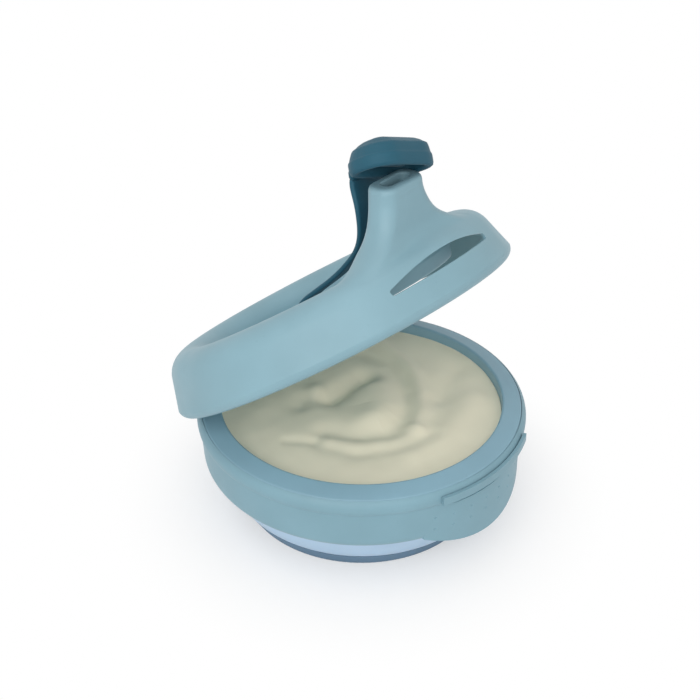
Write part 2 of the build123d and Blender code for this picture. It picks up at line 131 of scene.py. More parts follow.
# Spout: the nozzle's tilt, its lips and its hole
NOZZLE_TILT = 30
NOZZLE_UP = math.radians(NOZZLE_TILT)
MOUTH = (46.5, 35.3)
LIPS = (47.2, 35.3)
LIPS_HALF_X, LIPS_HALF_Y, LIPS_CORNER = 4.5, 8.2, 3.6
LIP_ROUND = 1.4
LIP_RISE = 0.25
LIP_STEPS = 8
HOLE_HALF_X, HOLE_HALF_Y, HOLE_CORNER = 2.0, 5.2, 1.9
HOLE_ROUND = 0.5
HOLE_SKIN = 0.12

# Flare: the curve from the nozzle down into the crest
FLARE_STEPS = 14
FLARE_MIDDLE = 38.6
FLARE_TURN_MIDDLE = 39.6
FLARE_FRONT, FLARE_BACK, FLARE_SIDE = 12.0, 15.5, 26.5
FLARE_FIRST_PULL, FLARE_LAST_PULL = 0.9, 1.05
FLARE_ON_CREST = 37.9
FLARE_LIFT = 0.35
SKIN_SINK = 0.03

# Cap: the place of its living hinge behind the mouth, and how far it stands open
HINGE_SKEW = math.radians(38.0)
CAP_OPEN = math.radians(33.0)
PIVOT_BEHIND = 12.0
PIVOT_BELOW = 0.8
HOOD_HALF_X, HOOD_HALF_Y, HOOD_CORNER = 8.35, 12.3, 7.4
HOLLOW_HALF_X, HOLLOW_HALF_Y, HOLLOW_CORNER = 5.35, 9.75, 4.2
STOPPER_HALF_X, STOPPER_HALF_Y, STOPPER_CORNER = 1.45, 4.6, 1.3
STOPPER_AHEAD = 0.6

# Strap: where it is buttoned to the lid, and how finely it is drawn
STRAP_ROOT = -17.0
STRAP_STEPS = 70
BUTTON_INNERMOST = 0.1

# Thumb grip on the sleeve, with two rows of dimples
SLEEVE_RADIUS = 48.4
GRIP_RADIUS = 40.0
GRIP_AHEAD = 9.6
DIMPLE_LEVELS = (24.0, 20.0)
DIMPLES = 8
DIMPLE_FIRST, DIMPLE_STEP = -24.5, 7
DIMPLE_RADIUS = 0.46
DIMPLE_OUT = 0.22
SHARP_FROM = math.radians(25)

# Food: its size, how strong its relief is, and how finely it is drawn
FOOD_RADIUS = 42.2
FOOD_LEVEL = 31.2
FOOD_RELIEF = 1.35
FOOD_CLIMB_WIDTH = 2.0
FOOD_RINGS = 110
FOOD_SPOKES = 288

# Studio, in metres
FLOOR_HALF = 1.5
FADE_FROM, FADE_TO = 0.034, 0.08
FADE_LEAST = 0.45
PAPER_WHITE = 0.94
AMBIENT = 0.55
LAMP_TARGET = Vector((0, 0, 0.05))


def linear(rgb):
    """Linear colour of sRGB levels."""
    parts = []
    for level in rgb:
        v = level / 255
        parts.append(v / 12.92 if v <= 0.04045 else ((v + 0.055) / 1.055) ** 2.4)
    return (*parts, 1.0)


def shade(colour, factor, lift=0.0):
    """A colour made deeper or paler, kept within range."""
    return tuple(min(1.0, part * factor + lift) for part in colour[:3]) + (1.0,)


def new_material(name):
    """A new material with an empty node tree."""
    material = bpy.data.materials.new(name)
    material.use_nodes = True
    material.node_tree.nodes.clear()
    return material


def add(tree, kind, inputs=None, **settings):
    """A new node of a tree. Each input takes a value, or a socket that is linked to it."""
    node = tree.nodes.new(kind)
    for key, value in settings.items():
        setattr(node, key, value)
    for key, value in (inputs or {}).items():
        if isinstance(value, bpy.types.NodeSocket):
            tree.links.new(value, node.inputs[key])
        else:
            node.inputs[key].default_value = value
    return node


def maths(tree, operation, first, second):
    """Socket with the result of a sum on two values."""
    return add(tree, "ShaderNodeMath", {0: first, 1: second}, operation=operation).outputs[0]


def noise(tree, place, scale, detail, rough=0.55):
    """Socket with a noise texture over the object."""
    inputs = {"Vector": place, "Scale": scale, "Detail": detail, "Roughness": rough}
    return add(tree, "ShaderNodeTexNoise", inputs).outputs["Fac"]


def spread(tree, source, low, high, to_low, to_high):
    """Socket with a source mapped from one range to another."""
    inputs = {"Value": source, "From Min": low, "From Max": high, "To Min": to_low, "To Max": to_high}
    return add(tree, "ShaderNodeMapRange", inputs).outputs["Result"]


def mix(tree, factor, first, second):
    """Socket with a mix of two colours."""
    inputs = {"Factor": factor, 6: first, 7: second}
    return add(tree, "ShaderNodeMix", inputs, data_type="RGBA").outputs[2]


def finish_tone(tree, place, colour, mottling, wear):
    """Colour with faint mottling and darker specks, rubbed paler along the edges."""
    base = linear(colour)
    mottle = spread(tree, noise(tree, place, MOTTLE_SCALE, 3.0), *MOTTLE_RANGE, 0.0, 1.0)
    tone = mix(tree, mottle, shade(base, 1 - mottling), shade(base, 1 + mottling))
    specks = spread(tree, noise(tree, place, SPECK_SCALE, 2.0), *SPECK_RANGE, 0.0,
                    SPECK_SHARE * mottling)
    tone = mix(tree, specks, tone, shade(base, SPECK_SHADE))

    # Edges: where a rounded normal leaves the true one, the finish is rubbed paler
    rounded = add(tree, "ShaderNodeBevel", {"Radius": EDGE_REACH}, samples=4).outputs["Normal"]
    true_normal = add(tree, "ShaderNodeNewGeometry").outputs["Normal"]
    likeness = add(tree, "ShaderNodeVectorMath", {0: rounded, 1: true_normal},
                   operation="DOT_PRODUCT").outputs["Value"]
    edge = spread(tree, likeness, *EDGE_RANGE, 0.0, 1.0)
    patches = spread(tree, noise(tree, place, RUB_SCALE, 4.0), *RUB_RANGE, RUB_LEAST, 1.0)
    rub = maths(tree, "MULTIPLY", maths(tree, "MULTIPLY", edge, patches), wear)
    return mix(tree, rub, tone, shade(base, RUB_SHADE, RUB_LIFT))


def finish_normal(tree, place, grain, grain_scale):
    """Normal with a fine grain over slow waves."""
    waves = add(tree, "ShaderNodeBump", {"Strength": WAVE_STRENGTH, "Distance": WAVE_DEPTH,
                                         "Height": noise(tree, place, WAVE_SCALE, 1.0)})
    grains = noise(tree, place, grain_scale, 2.0, rough=0.5)
    bump = add(tree, "ShaderNodeBump", {"Strength": GRAIN_STRENGTH, "Distance": grain,
                                        "Height": grains, "Normal": waves.outputs["Normal"]})
    return bump.outputs["Normal"]


def moulded(name, colour, roughness, grain=0.00004, grain_scale=2600.0, sheen=0.0,
            subsurface=0.0, wear=0.12, mottling=0.05, ior=1.47):
    """Moulded plastic or silicone: fine grain, faint mottling, pale worn edges and smudges."""
    material = new_material(name)
    tree = material.node_tree
    place = add(tree, "ShaderNodeTexCoord").outputs["Object"]
    smudge = spread(tree, noise(tree, place, SMUDGE_SCALE, 5.0, 0.65), *SMUDGE_RANGE,
                    roughness - SMUDGE_SMOOTHER, roughness + SMUDGE_ROUGHER)
    inputs = {"Base Color": finish_tone(tree, place, colour, mottling, wear),
              "Roughness": smudge,
              "Normal": finish_normal(tree, place, grain, grain_scale),
              "IOR": ior, "Sheen Weight": sheen, "Sheen Roughness": 0.5}
    if subsurface:
        inputs["Subsurface Weight"] = subsurface
        inputs["Subsurface Radius"] = SOFT_DEPTHS
        inputs["Subsurface Scale"] = SOFT_SCALE
    shader = add(tree, "ShaderNodeBsdfPrincipled", inputs)
    add(tree, "ShaderNodeOutputMaterial", {"Surface": shader.outputs["BSDF"]})
    return material


lid_finish = moulded("lid_finish", LID_COLOUR, 0.46)
sleeve_finish = moulded("sleeve_finish", SLEEVE_COLOUR, 0.48)
rim_finish = moulded("rim_finish", RIM_COLOUR, 0.44)
foot_finish = moulded("foot_finish", FOOT_COLOUR, 0.72, ior=1.38)
bowl_finish = moulded("bowl_finish", BOWL_COLOUR, 0.42, subsurface=0.35, wear=0.05)
cap_finish = moulded("cap_finish", CAP_COLOUR, 0.62, sheen=0.06, wear=0.14, ior=1.41)
seal_finish = moulded("seal_finish", SEAL_COLOUR, 0.5, subsurface=0.2)
pin_finish = moulded("pin_finish", PIN_COLOUR, 0.4)
food_finish = moulded("food_finish", FOOD_COLOUR, 0.42, grain=0.00001, grain_scale=900.0,
                      wear=0.0, mottling=0.02, ior=1.36)

FINISHES = {
    "foot": foot_finish, "bowl": bowl_finish, "rim_ring": rim_finish,
    "sleeve": sleeve_finish, "hinge_pin": pin_finish, "lid": lid_finish,
    "lid_seal": seal_finish, "cap_strap": cap_finish, "strap_anchor": cap_finish,
    "cap": cap_finish,
}


def dress_nodes():
    """Gives each moulding its finish."""
    for node_name, finish in FINISHES.items():
        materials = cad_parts[node_name].data.materials
        materials.clear()
        materials.append(finish)


def new_object(name, data):
    """A new object in the scene."""
    made = bpy.data.objects.new(name, data)
    bpy.context.scene.collection.objects.link(made)
    return made


def new_piece(name, verts, faces, finish, body):
    """A smooth mesh object in the row frame, which rides on a body where one is named."""
    mesh = bpy.data.meshes.new(name)
    mesh.from_pydata([tuple(v) for v in verts], [], faces)
    mesh.materials.append(finish)
    mesh.shade_smooth()
    piece = new_object(name, mesh)
    if body:
        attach(piece, body)
    return piece


def ring_faces(rings, columns):
    """Quads between rings of points."""
    made = []
    for i in range(rings - 1):
        for k in range(columns):
            a, b = i * columns + k, i * columns + (k + 1) % columns
            made.append((a, b, b + columns, a + columns))
    return made


def ring_piece(name, rings, finish, body, fill_first=False, fill_last=False):
    """Skin over equal rings of points, its first and last rings filled where asked."""
    columns = len(rings[0])
    verts = [point for ring in rings for point in ring]
    faces = ring_faces(len(rings), columns)
    for filled, ring, start in ((fill_first, rings[0], 0),
                                (fill_last, rings[-1], (len(rings) - 1) * columns)):
        if filled:
            verts.append(sum((Vector(point) for point in ring), Vector()) / columns)
            for k in range(columns):
                faces.append((start + k, start + (k + 1) % columns, len(verts) - 1))
    piece = new_piece(name, verts, faces, finish, body)
    clean = bmesh.new()
    clean.from_mesh(piece.data)
    bmesh.ops.recalc_face_normals(clean, faces=clean.faces)
    clean.to_mesh(piece.data)
    clean.free()
    return piece


def natural_spline(knots, values, at):
    """Natural cubic spline through the values at their knots, read at each place."""
    knots, values = np.asarray(knots, float), np.asarray(values, float)
    count = len(knots)
    gaps = np.diff(knots)
    system, right = np.eye(count), np.zeros((count,) + values.shape[1:])
    for i in range(1, count - 1):
        system[i, i - 1:i + 2] = gaps[i - 1], 2 * (gaps[i - 1] + gaps[i]), gaps[i]
        right[i] = 6 * ((values[i + 1] - values[i]) / gaps[i]
                        - (values[i] - values[i - 1]) / gaps[i - 1])
    bend = np.linalg.solve(system, right)
    out = []
    for x in at:
        i = int(np.clip(np.searchsorted(knots, x) - 1, 0, count - 2))
        gap, to_next, from_last = gaps[i], knots[i + 1] - x, x - knots[i]
        out.append((bend[i] * to_next ** 3 + bend[i + 1] * from_last ** 3) / (6 * gap)
                   + (values[i] / gap - bend[i] * gap / 6) * to_next
                   + (values[i + 1] / gap - bend[i + 1] * gap / 6) * from_last)
    return np.array(out)


def arc(middle_x, middle_y, radius, start, end, steps):
    """Points of an arc, from one angle to another in degrees."""
    turns = [math.radians(start + (end - start) * k / steps) for k in range(steps + 1)]
    return [(middle_x + radius * math.cos(turn), middle_y + radius * math.sin(turn))
            for turn in turns]


def rounded_ring(half_x, half_y, corner, per_corner=12, per_side=8, least=0.01):
    """Points round a rectangle with rounded corners, always as many and from the same place."""
    corner = max(least, min(corner, half_x - least, half_y - least))
    flat_x, flat_y = half_x - corner, half_y - corner
    corners = [arc(flat_x, flat_y, corner, 0, 90, per_corner),
               arc(-flat_x, flat_y, corner, 90, 180, per_corner),
               arc(-flat_x, -flat_y, corner, 180, 270, per_corner),
               arc(flat_x, -flat_y, corner, 270, 360, per_corner)]
    points = []
    for n, turn in enumerate(corners):
        points += turn
        (last_x, last_y), (next_x, next_y) = turn[-1], corners[(n + 1) % 4][0]
        points += [(last_x + (next_x - last_x) * k / per_side,
                    last_y + (next_y - last_y) * k / per_side) for k in range(1, per_side)]
    return points


def lathe(section, steps, place):
    """Rings of a turned shape: each point of its section is (radius, height)."""
    turns = [2 * math.pi * k / steps for k in range(steps)]
    return [[place(radius * math.cos(turn), radius * math.sin(turn), height) for turn in turns]
            for radius, height in section]


def upright(x, y, z):
    """Point given in millimetres in the row frame."""
    return Vector((x, y, z)) * MM


# The lid's frame in the open pose: along the lid towards the spout, along the hinge, square to it
LID_X = Vector((math.cos(LID_TILT), 0, math.sin(LID_TILT)))
LID_Y = Vector((0, 1, 0))
LID_Z = Vector((-math.sin(LID_TILT), 0, math.cos(LID_TILT)))
LID_ORIGIN = (Vector((-HINGE_BEHIND, 0, HINGE_HEIGHT)) + LID_X * HINGE_BEHIND
              - LID_Z * HINGE_OVER_LID)


def lid_point(x, y, z):
    """Point of the lid's frame, given in millimetres, in the row frame."""
    return (LID_ORIGIN + LID_X * x + LID_Y * y + LID_Z * z) * MM


def strap_button_point(x, y, z):
    """Point of the lid's frame, with x and y from the strap's button."""
    return lid_point(STRAP_ROOT + x, y, z)


# The cap's frame at rest: ahead, along the mouth and up, turned open about its living hinge
MOUTH_AHEAD = LID_X * math.cos(NOZZLE_UP) - LID_Z * math.sin(NOZZLE_UP)
MOUTH_UP = LID_X * math.sin(NOZZLE_UP) + LID_Z * math.cos(NOZZLE_UP)
PIVOT = (LID_ORIGIN + LID_X * MOUTH[0] + LID_Z * MOUTH[1]
         - MOUTH_AHEAD * PIVOT_BEHIND - MOUTH_UP * PIVOT_BELOW)
HINGE_LINE = -MOUTH_AHEAD * math.sin(HINGE_SKEW) - LID_Y * math.cos(HINGE_SKEW)
OPENING = Matrix.Rotation(CAP_OPEN, 3, HINGE_LINE)
CAP_AHEAD, CAP_SIDE, CAP_UP = OPENING @ MOUTH_AHEAD, OPENING @ LID_Y, OPENING @ MOUTH_UP
CAP_ORIGIN = PIVOT + CAP_AHEAD * PIVOT_BEHIND + CAP_UP * PIVOT_BELOW


def cap_point(x, y, z):
    """Point of the cap's frame, given in millimetres, in the row frame."""
    return (CAP_ORIGIN + CAP_AHEAD * x + CAP_SIDE * y + CAP_UP * z) * MM


def cone(height):
    """Outer radius of the bowl's lower cone."""
    return CONE_RADIUS + CONE_SPREAD * height / CONE_HEIGHT


def bowl_section():
    """Half section of the bowl: out under it, up its outside, down its inside and in over the floor."""
    inner = BOWL_RADIUS - BOWL_WALL
    inside_corner = arc(BOWL_CORNER_MIDDLE, BOWL_FLOOR + BOWL_CORNER, BOWL_CORNER, -5, -90, 10)
    section = [(BOWL_INNERMOST, BOWL_UNDERSIDE), (20.0, BOWL_UNDERSIDE)]
    # The seat in the foot and the shoulder over it, as heights and steps out from the cone
    section += [(cone(height) + out, height) for height, out in (
        (BOWL_UNDERSIDE, -1.9), (1.75, -1.802), (5.3, -1.62), (5.55, -1.2304), (5.55, -0.35),
        (5.9, 0.0), (8.0, 0.05), (11.0, 0.08), (14.0, 0.05), (16.0, 0.0))]
    section += [(BOWL_RADIUS - 0.1, 17.1), (BOWL_RADIUS, 18.5), (BOWL_RADIUS, 26.0),
                (BOWL_RADIUS, BOWL_TOP - BOWL_EDGE), (BOWL_RADIUS - BOWL_EDGE, BOWL_TOP),
                (inner + BOWL_EDGE, BOWL_TOP), (inner, BOWL_TOP - BOWL_EDGE),
                (inner, 26.0), (inner, 18.0), (inner - 0.2, 16.6), (inner - 1.0, 14.8)]
    section += [(cone(height) + out, height) for height, out in (
        (12.0, -BOWL_WALL), (10.2, -1.9), (9.4, -2.5))]
    section += inside_corner
    return section + [(30.0, BOWL_FLOOR), (15.0, BOWL_FLOOR), (BOWL_INNERMOST, BOWL_FLOOR)]


def make_bowl():
    """Bowl: the soft cone with its rolled corner, inside the sleeve and the foot."""
    rings = lathe(bowl_section(), TURNED_STEPS, upright)
    bowl_soft = ring_piece("bowl_silicone", rings, bowl_finish, "base",
                           fill_first=True, fill_last=True)
    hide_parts("bowl")


def make_seal():
    """Seal: a soft lip with a bead on each side, under the lid's crest."""
    section = [(43.6, 14.9), (43.55, 14.55), (43.7, 14.38), (44.0, 14.32), (44.4, 14.36),
               (44.9, 14.16), (45.5, 14.05), (46.0, 13.96), (46.3, 13.75), (46.6, 13.66),
               (46.85, 13.78), (46.95, 14.1), (46.9, 14.9)]
    seal_soft = ring_piece("seal_silicone", lathe(section, TURNED_STEPS, lid_point),
                           seal_finish, "lid")
    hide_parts("lid_seal")


def make_anchor():
    """Anchor: the strap's button under the recess floor."""
    section = [(BUTTON_INNERMOST, RECESS_FLOOR), (1.85, RECESS_FLOOR), (1.9, 7.4), (3.2, 7.38),
               (3.4, 7.1), (3.35, 6.4), (2.9, 6.1), (BUTTON_INNERMOST, 6.08)]
    anchor_soft = ring_piece("anchor_button", lathe(section, BUTTON_STEPS, strap_button_point),
                             cap_finish, "lid", fill_first=True, fill_last=True)
    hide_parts("strap_anchor")


def lid_surface(radius):
    """Height of the lid's outside over its bottom plane at a radius."""
    skirt_radius = CREST_RADIUS + CREST_OUTER_ARC * math.cos(SKIRT_LEAN)
    if radius >= skirt_radius:
        skirt_top = CREST_TOP - CREST_OUTER_ARC * (1 - math.sin(SKIRT_LEAN))
        return skirt_top - (radius - skirt_radius) / math.tan(SKIRT_LEAN)
    if radius >= CREST_RADIUS:
        return (CREST_TOP - CREST_OUTER_ARC
                + math.sqrt(CREST_OUTER_ARC ** 2 - (radius - CREST_RADIUS) ** 2))
    if radius >= CREST_RADIUS - CREST_INNER_ARC:
        inward = min(CREST_INNER_ARC, CREST_RADIUS - radius)
        return CREST_TOP - CREST_INNER_ARC + math.sqrt(CREST_INNER_ARC ** 2 - inward ** 2)
    return RECESS_FLOOR


def spout_ring(x, height, tilt, half_x, half_y, corner):
    """A ring of the spout in the lid's frame, in millimetres."""
    turn = math.radians(tilt)
    return [(x + u * math.cos(turn), v, height - u * math.sin(turn))
            for u, v in rounded_ring(half_x, half_y, corner)]


def over_lips(rise):
    """Place on the nozzle's middle line at a rise over the lips' plane, as x and height."""
    return LIPS[0] + rise * math.sin(NOZZLE_UP), LIPS[1] + rise * math.cos(NOZZLE_UP)


def mouth_ring(rise, inset):
    """A ring of the mouth at a rise over its plane, drawn in from the nozzle's outside."""
    return spout_ring(*over_lips(rise), NOZZLE_TILT,
                      LIPS_HALF_X - inset, LIPS_HALF_Y - inset, LIPS_CORNER - inset)


def hole_ring(rise, inset):
    """A ring of the mouth's hole, drawn in from its wall."""
    return spout_ring(*over_lips(rise), NOZZLE_TILT,
                      HOLE_HALF_X - inset, HOLE_HALF_Y - inset, HOLE_CORNER - inset)


# The spout's stations: place along it, then x, height, tilt, half sizes and corner of its ring
SPOUT_STATIONS = [
    (0.0, 38.15, 17.0, 2, 9.9, 23.8, 9.3),
    (4.5, 40.5, 21.5, 11, 5.9, 15.8, 5.5),
    (7.9, 42.0, 24.6, 17, 5.0, 12.2, 4.6),
    (12.1, 43.7, 28.4, 24, 4.7, 9.9, 4.2),
    (16.6, *over_lips(-3.4), NOZZLE_TILT, 4.55, 8.6, 3.8),
    (20.0, *LIPS, NOZZLE_TILT, LIPS_HALF_X, LIPS_HALF_Y, LIPS_CORNER),
]
SPOUT_SKIN_FROM, SPOUT_SKIN_TO, SPOUT_SKIN_RINGS = 4.5, 18.9, 26


def rise_rings():
    """Rings from the top of the flare up to the lips."""
    places = np.linspace(SPOUT_SKIN_FROM, SPOUT_SKIN_TO, SPOUT_SKIN_RINGS)
    rows = natural_spline([station[0] for station in SPOUT_STATIONS],
                          [station[1:] for station in SPOUT_STATIONS], places)
    return [spout_ring(*row) for row in rows]


def flare_end(point, step=0.4):
    """Where the flare from a point of its top ring meets the crest, and its pull as it gets there."""
    around = math.atan2(point[1], point[0] - FLARE_TURN_MIDDLE)
    reach = FLARE_FRONT if math.cos(around) > 0 else FLARE_BACK
    end = np.array((FLARE_MIDDLE + reach * math.cos(around), FLARE_SIDE * math.sin(around)))
    radius = math.hypot(*end)
    height = lid_surface(radius)
    slope = (lid_surface(radius + step) - lid_surface(radius - step)) / (2 * step)
    away = end - point[:2]
    length = math.hypot(*away, height - point[2])
    direction = np.array((*away, slope * (away @ end) / radius))
    pull = direction / np.linalg.norm(direction) * length * FLARE_LAST_PULL
    return (*end, height - SKIN_SINK), pull


def flare_rings(first, second):
    """Rings from the crest up to the first ring of the rise, each line over them one curve."""
    first = np.array(first)
    ends, end_pulls = (np.array(part) for part in zip(*[flare_end(point) for point in first]))
    start_pulls = first - np.array(second)
    start_pulls /= np.linalg.norm(start_pulls, axis=1)[:, None]
    start_pulls *= np.linalg.norm(ends - first, axis=1)[:, None] * FLARE_FIRST_PULL
    rings = []
    for k in range(FLARE_STEPS, 0, -1):
        u = k / FLARE_STEPS
        ring = ((2 * u ** 3 - 3 * u ** 2 + 1) * first + (u ** 3 - 2 * u ** 2 + u) * start_pulls
                + (3 * u ** 2 - 2 * u ** 3) * ends + (u ** 3 - u ** 2) * end_pulls)
        for point in ring:
            reach = math.hypot(point[0], point[1])
            if reach > FLARE_ON_CREST:
                lowest = lid_surface(reach) + FLARE_LIFT * (1 - u) - SKIN_SINK
                point[2] = max(point[2], lowest)
        rings.append([tuple(point) for point in ring])
    return rings


def lip_rings():
    """Rings over the rounded lips and down into the mouth's hole."""
    turns = [math.radians(90 * k / LIP_STEPS) for k in range(LIP_STEPS + 1)]
    rings = []
    for turn in turns[1:]:
        rings.append(mouth_ring(LIP_RISE - LIP_ROUND * (1 - math.sin(turn)),
                                LIP_ROUND * (1 - math.cos(turn))))
    for turn in turns:
        rings.append(hole_ring(LIP_RISE - HOLE_ROUND * (1 - math.cos(turn)),
                               HOLE_SKIN - HOLE_ROUND * (1 - math.sin(turn))))
    return rings + [hole_ring(-1.2, HOLE_SKIN), hole_ring(-2.6, HOLE_SKIN), hole_ring(-3.2, 0.0)]


def make_spout_skin():
    """Spout skin: the nozzle with rounded lips, flaring in one curve into the lid's crest."""
    rise = rise_rings()
    rings = flare_rings(rise[0], rise[1]) + rise + lip_rings()
    spout_skin = ring_piece("spout_skin", [[lid_point(*point) for point in ring] for ring in rings],
                            lid_finish, "lid")


# The solid nozzle under the skin: heights, the middles there and how far each is moved ahead
SOLID_MIDDLES = ((17.0, 21.5, 24.6, 28.4, 35.3), (38.15, 39.6, 41.0, 42.8, 46.5))
SOLID_MOVES = ((21.5, 24.6, 28.4, 35.3), (0.9, 1.0, 0.9, 0.7))
SOLID_BACK = 20.0
SOLID_NARROWER_X, SOLID_NARROWER_Y = 0.14, 0.145
SOLID_FROM, SOLID_RAMP = 17.9, 3.0
SOLID_SUNK, SOLID_SUNK_FROM, SOLID_SUNK_RAMP = 0.7, -4.0, 3.0
ROOT_RADIUS, ROOT_TOP = 38.0, 21.0
ROOT_OVER, ROOT_SINK = 0.03, 0.08


def laid_down(x, y, z):
    """A point of the spout's root, laid a little under the crest where it stands over it."""
    radius = math.hypot(x, y)
    if radius > ROOT_RADIUS and z < ROOT_TOP and z - lid_surface(radius) > ROOT_OVER:
        z = lid_surface(radius) - ROOT_SINK
    return x, y, z


def drawn_in(x, y, z):
    """A point of the nozzle, drawn in towards its middle line and sunk under the lips."""
    share = min(1.0, (z - SOLID_FROM) / SOLID_RAMP)
    share = share * share * (3 - 2 * share)
    middle = float(np.interp(z, *SOLID_MIDDLES))
    moved = float(np.interp(z, *SOLID_MOVES))
    x = middle + moved * share + (x - middle) * (1 - SOLID_NARROWER_X * share)
    y *= 1 - SOLID_NARROWER_Y * share
    rise = (x - LIPS[0]) * math.sin(NOZZLE_UP) + (z - LIPS[1]) * math.cos(NOZZLE_UP)
    sunk = SOLID_SUNK * min(1.0, max(0.0, (rise - SOLID_SUNK_FROM) / SOLID_SUNK_RAMP))
    return x - sunk * math.sin(NOZZLE_UP), y, z - sunk * math.cos(NOZZLE_UP)


def make_lid_shell():
    """Lid: the same moulding, its nozzle drawn in a little so that the rounded skin lies over it."""
    shell_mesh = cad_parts["lid"].data.copy()
    shell_mesh.name = "lid_shell"
    for vertex in shell_mesh.vertices:
        place = vertex.co / MM - LID_ORIGIN
        x, y, z = place.dot(LID_X), place.dot(LID_Y), place.dot(LID_Z)
        if x > SOLID_BACK:
            x, y, z = laid_down(x, y, z)
            if z > SOLID_FROM:
                x, y, z = drawn_in(x, y, z)
        vertex.co = lid_point(x, y, z)
    lid_shell = new_object("lid_shell", shell_mesh)
    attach(lid_shell, "lid")
    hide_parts("lid")


def cap_ring(halves_and_corner, height, inset, ahead=0.0, aside=0.0):
    """A ring of the cap: a rounded rectangle drawn in by the inset and moved ahead or aside."""
    half_x, half_y, corner = halves_and_corner
    return [cap_point(x + ahead, y + aside, height)
            for x, y in rounded_ring(half_x - inset, half_y - inset, corner - inset)]


def make_cap_hood():
    """Cap: a soft hood with a rounded crown over two soft creases, hollow under."""
    hollow_size = (HOLLOW_HALF_X, HOLLOW_HALF_Y, HOLLOW_CORNER)
    hood_size = (HOOD_HALF_X, HOOD_HALF_Y, HOOD_CORNER)
    # Heights and insets down the hollow, then heights, insets and leans aside up the hood
    hollow = ((2.3, 3.6), (2.3, 1.2), (2.1, 0.4), (1.6, 0.05), (-0.6, 0.0), (-2.2, -0.1))
    skirt = ((-2.7, 2.1, 0.0), (-2.95, 1.4, 0.0), (-2.9, 0.7, 0.0), (-2.6, 0.2, 0.0),
             (-2.0, 0.0, 0.0), (-1.0, -0.05, 0.0), (0.0, -0.03, 0.0), (0.4, 0.04, 0.0))
    crown = ((0.65, 0.24, 0.05), (0.9, 0.34, 0.1), (2.0, 0.6, 0.3), (3.1, 0.95, 0.55),
             (3.5, 1.15, 0.65), (3.75, 1.5, 0.7), (3.95, 1.9, 0.75), (4.7, 2.9, 0.8),
             (5.3, 4.1, 0.8), (5.75, 5.5, 0.8), (6.0, 7.0, 0.8))
    rings = [cap_ring(hollow_size, height, inset) for height, inset in hollow]
    rings += [cap_ring(hood_size, height, inset, aside=lean) for height, inset, lean in skirt + crown]
    cap_soft = ring_piece("cap_hood", rings, cap_finish, "cap", fill_first=True, fill_last=True)
    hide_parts("cap")


def make_stopper():
    """Stopper: the plug under the cap's ceiling, which goes into the mouth's hole."""
    size = (STOPPER_HALF_X, STOPPER_HALF_Y, STOPPER_CORNER)
    rings = [cap_ring(size, height, inset, ahead=STOPPER_AHEAD)
             for height, inset in ((2.4, 0.0), (-0.9, 0.0), (-1.4, 0.15), (-1.6, 0.5))]
    stopper_piece = ring_piece("cap_stopper", rings, cap_finish, "cap", fill_last=True)


def strap_stations():
    """The strap's stations: middle point, half width, thickness and its share of the cap's twist."""
    pivot_x, pivot_z = (PIVOT - LID_ORIGIN).dot(LID_X), (PIVOT - LID_ORIGIN).dot(LID_Z)
    run, rise = pivot_x - STRAP_ROOT, pivot_z - RECESS_FLOOR
    stations = [(lid_point(-14.5, 0, 9.95), 4.2, 1.3, 0)]
    # Shares of the run and the rise up to the cap's pivot, the step aside, and the sizes there
    for along, above, aside, half, thick, twist in (
            (0.142, 0.130, 0, 4.0, 1.4, 0), (0.284, 0.194, 0, 3.7, 1.4, 0),
            (0.493, 0.257, 0, 3.3, 1.4, 0), (0.674, 0.343, 0, 3.4, 1.4, 0),
            (0.797, 0.426, 0, 4.2, 1.45, 0), (0.884, 0.540, 0, 4.9, 1.5, 0),
            (0.935, 0.667, 0.3, 5.4, 1.6, 0), (0.966, 0.807, 1.1, 5.8, 1.8, 0),
            (1.0, 1.0, 2.5, 5.8, 2.4, 0.3)):
        middle = lid_point(STRAP_ROOT + run * along, aside, RECESS_FLOOR + rise * above)
        stations.append((middle, half, thick, twist))
    stations.append((cap_point(-9.6, 1.6, 0.3), 6.0, 3.2, 1.0))
    stations.append((cap_point(-7.2, 1.2, 1.2), 6.2, 3.6, 1.0))
    return stations


def strap_rings():
    """Rings along the strap, square to its line."""
    stations = strap_stations()
    middles = [station[0] for station in stations]
    lengths = [(b - a).length for a, b in zip(middles, middles[1:])]
    knots = np.concatenate(([0.0], np.cumsum(lengths)))
    places = np.linspace(0, knots[-1], STRAP_STEPS)
    line = natural_spline(knots, [tuple(middle) for middle in middles], places)
    sizes = natural_spline(knots, [station[1:] for station in stations], places)
    rings = []
    for k, (spot, (half, thick, twist)) in enumerate(zip(line, sizes)):
        along = Vector(line[min(k + 1, len(line) - 1)]) - Vector(line[max(k - 1, 0)])
        along.normalize()
        across = LID_Y * (1 - twist) + CAP_SIDE * twist
        across = (across - along * across.dot(along)).normalized()
        out = across.cross(along)
        rings.append([Vector(spot) + (across * x + out * y) * MM
                      for x, y in rounded_ring(half, thick / 2, thick / 2 * 0.85,
                                               per_corner=6, per_side=6)])
    return rings


def make_strap():
    """Strap: one soft band from the pad in the recess up to the cap, which it runs into."""
    rings = strap_rings()
    strap_soft = new_piece("cap_strap_band", [point for ring in rings for point in ring],
                           ring_faces(len(rings), len(rings[0])), cap_finish, None)
    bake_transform(strap_soft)
    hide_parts("cap_strap")


def make_pad():
    """Pad: the strap's round end, flat on the recess floor."""
    section = [(BUTTON_INNERMOST, 9.22), (4.9, 9.22), (5.0, 9.6), (4.95, 10.3), (4.6, 10.68),
               (4.0, 10.75), (2.0, 10.8), (BUTTON_INNERMOST, 10.8)]
    pad = ring_piece("strap_pad", lathe(section, PAD_STEPS, strap_button_point), cap_finish,
                     "lid", fill_first=True, fill_last=True)


